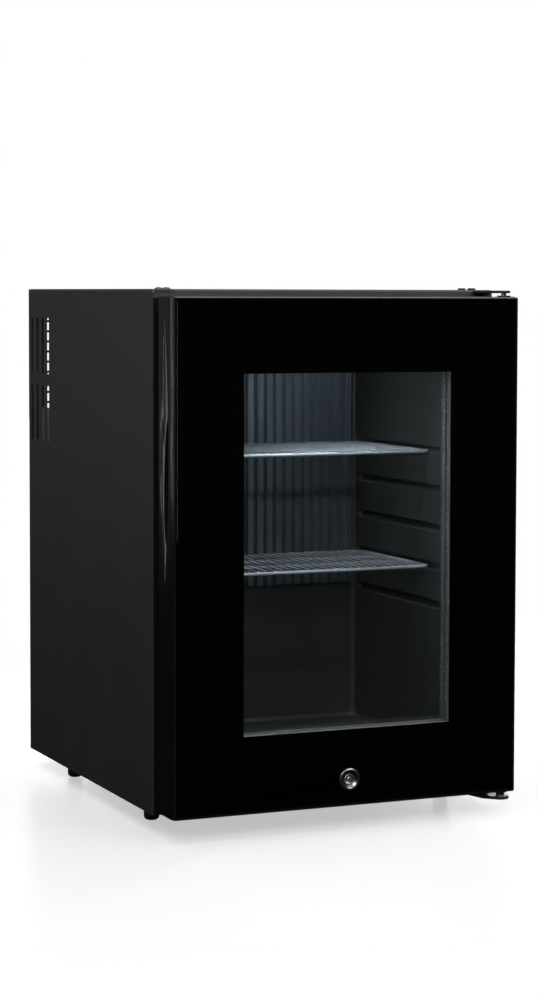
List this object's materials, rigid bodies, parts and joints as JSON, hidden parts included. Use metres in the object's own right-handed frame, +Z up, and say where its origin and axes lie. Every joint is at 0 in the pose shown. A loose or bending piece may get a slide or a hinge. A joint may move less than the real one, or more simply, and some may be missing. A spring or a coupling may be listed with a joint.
{
  "type": "minibar fridge",
  "caption": "Small upright black minibar with a triple-glazed glass door hung on the right, a finger grip, a key lock, sliding wire shelves and silent thermoelectric cooling.",
  "frame": {"origin": "on the floor, below the middle of the whole closed fridge", "axes": "+Z up, -Y out of the door's front, +X to the right seen from the front, where the hinges are"},
  "size_m": [0.402, 0.4902, 0.578],
  "materials": {
    "wrap_paint": "satin",
    "zinc_steel": "satin",
    "grille_plastic": "matte",
    "liner_plastic": "satin",
    "foam": "matte",
    "frame_plastic": "satin",
    "clear_glass": "gloss",
    "border_print": "gloss",
    "spacer_aluminium": "satin",
    "gasket_rubber": "matte",
    "magnet": "matte",
    "foot_rubber": "matte",
    "nylon": "satin",
    "lock_metal": "satin",
    "wire_coating": "gloss",
    "cold_aluminium": "satin",
    "fin_aluminium": "satin",
    "copper": "satin",
    "ceramic": "matte",
    "case_plastic": "matte",
    "board": "satin",
    "lead_insulation": "satin",
    "lens_plastic": "gloss"
  },
  "bodies": {
    "cabinet": {"cabinet_wrap": "wrap_paint", "base_plate": "zinc_steel", "back_panel": "wrap_paint", "rear_grille": "grille_plastic", "small_screws": "zinc_steel", "inner_liner": "liner_plastic", "insulation_foam": "foam", "foam_bulkhead": "zinc_steel", "top_hinge_bracket": "wrap_paint", "top_hinge_pin": "lock_metal", "bottom_hinge_bracket": "wrap_paint", "bottom_hinge_pin": "lock_metal", "hinge_washer": "nylon", "hinge_screws": "zinc_steel", "hinge_hole_plugs": "frame_plastic", "hinge_slot_blank": "frame_plastic", "foot_front_left": "foot_rubber", "foot_front_right": "foot_rubber", "foot_rear_left": "foot_rubber", "foot_rear_right": "foot_rubber", "foot_screws": "zinc_steel", "strike_plate": "wrap_paint", "cold_plate": "cold_aluminium", "cold_block": "cold_aluminium", "thermoelectric_module": "ceramic", "heat_sink_base": "fin_aluminium", "heat_pipes": "copper", "heat_sink_fins": "fin_aluminium", "sink_screws": "zinc_steel", "control_box": "case_plastic", "circuit_board": "board", "power_inlet": "grille_plastic", "module_leads": "lead_insulation", "light_housing": "frame_plastic", "light_lens": "lens_plastic", "led_board": "board", "thermostat": "case_plastic", "switch_case": "frame_plastic"},
    "door": {"door_frame": "frame_plastic", "door_foam": "foam", "door_inner_frame": "frame_plastic", "door_gasket": "gasket_rubber", "gasket_magnet": "magnet", "door_glass_outer": "clear_glass", "glass_border_print": "border_print", "spacer_front": "spacer_aluminium", "door_glass_middle": "clear_glass", "spacer_rear": "spacer_aluminium", "door_glass_inner": "clear_glass", "hinge_bush_top": "nylon", "hinge_bush_bottom": "nylon", "lock_housing": "lock_metal", "lock_nut": "zinc_steel"},
    "lock": {"lock_plug": "lock_metal", "lock_cam": "zinc_steel", "cam_screw": "zinc_steel"},
    "upper_shelf": {"shelf_upper": "wire_coating"},
    "lower_shelf": {"shelf_lower": "wire_coating"},
    "knob": {"thermostat_knob": "frame_plastic"},
    "rocker": {"light_switch_rocker": "frame_plastic"}
  },
  "joints": [
    {"name": "door_hinge", "type": "hinge", "parent": "cabinet", "child": "door", "pos_m": [0.189, -0.23115, 0.25], "axis": [0, 0, 1], "range_deg": [0, 120]},
    {"name": "lock_turn", "type": "hinge", "parent": "door", "child": "lock", "pos_m": [0, -0.23265, 0.054], "axis": [0, 1, 0], "range_deg": [0, 90]},
    {"name": "upper_shelf_slide", "type": "slide", "parent": "cabinet", "child": "upper_shelf", "axis": [0, -1, 0], "range_m": [-0.004, 0.031]},
    {"name": "lower_shelf_slide", "type": "slide", "parent": "cabinet", "child": "lower_shelf", "axis": [0, -1, 0], "range_m": [-0.004, 0.031]},
    {"name": "knob_turn", "type": "hinge", "parent": "cabinet", "child": "knob", "pos_m": [0.034, -0.15265, 0.525], "axis": [0, 1, 0], "range_deg": [-135, 135]},
    {"name": "rocker_tilt", "type": "hinge", "parent": "cabinet", "child": "rocker", "pos_m": [-0.034, -0.15665, 0.525], "axis": [1, 0, 0], "range_deg": [0, 18]}
  ]
}
